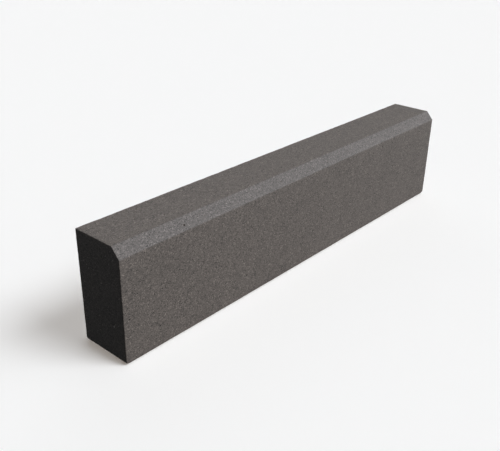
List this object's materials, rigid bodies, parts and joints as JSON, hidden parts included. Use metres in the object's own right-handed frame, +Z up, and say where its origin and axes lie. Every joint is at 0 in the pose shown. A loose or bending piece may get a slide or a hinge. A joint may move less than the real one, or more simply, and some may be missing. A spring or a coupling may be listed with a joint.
{
  "type": "concrete kerb stone",
  "caption": "Long concrete block with a sloped upper corner, set on edge to border a road or path.",
  "frame": {"origin": "middle of the underside, on the bed that the kerb stands on", "axes": "+X along the kerb line, +Y from the road side to the back, +Z up. The sloped corner faces -Y."},
  "size_m": [1, 0.11, 0.22],
  "materials": {
    "concrete": "dark warm grey cast concrete, matt, fine sandy grain with small pinholes"
  },
  "bodies": {
    "root": {"kerb_stone": "concrete"}
  },
  "joints": []
}
